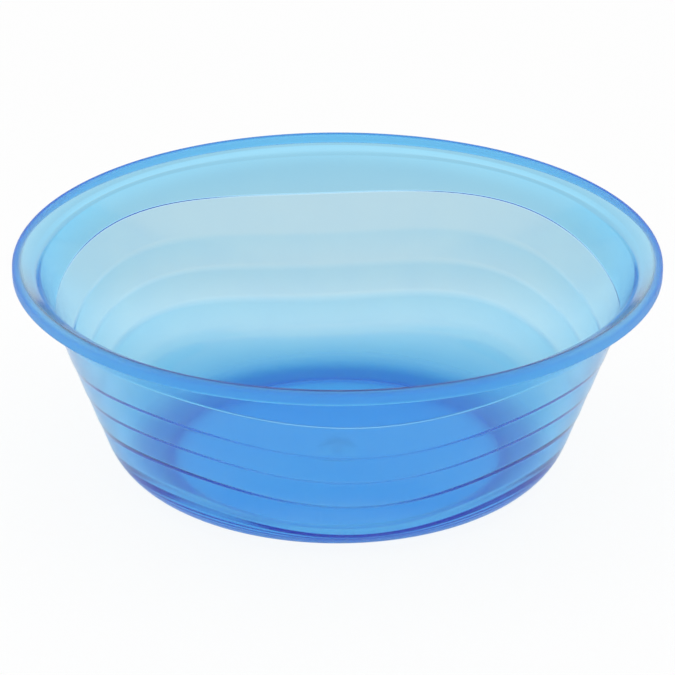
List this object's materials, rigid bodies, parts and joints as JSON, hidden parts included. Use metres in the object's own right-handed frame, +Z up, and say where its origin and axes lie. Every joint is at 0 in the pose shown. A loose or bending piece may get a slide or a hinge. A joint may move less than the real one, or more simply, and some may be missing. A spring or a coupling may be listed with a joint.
{
  "type": "plastic basin",
  "caption": "Round open wash basin in translucent blue plastic, with a stepped, outward-leaning wall, a turned-down rim and a foot ring.",
  "frame": {"origin": "under the middle of the foot ring, in the plane that the basin stands on", "axes": "+Z up along the basin's axis, out of its mouth; +X and +Y to two of the four places where the steps run lowest, to within five degrees"},
  "size_m": [0.36, 0.36, 0.127],
  "materials": {
    "blue_plastic": "translucent blue moulded plastic, smooth and softly glossy"
  },
  "bodies": {
    "root": {"basin_shell": "blue_plastic"}
  },
  "joints": []
}
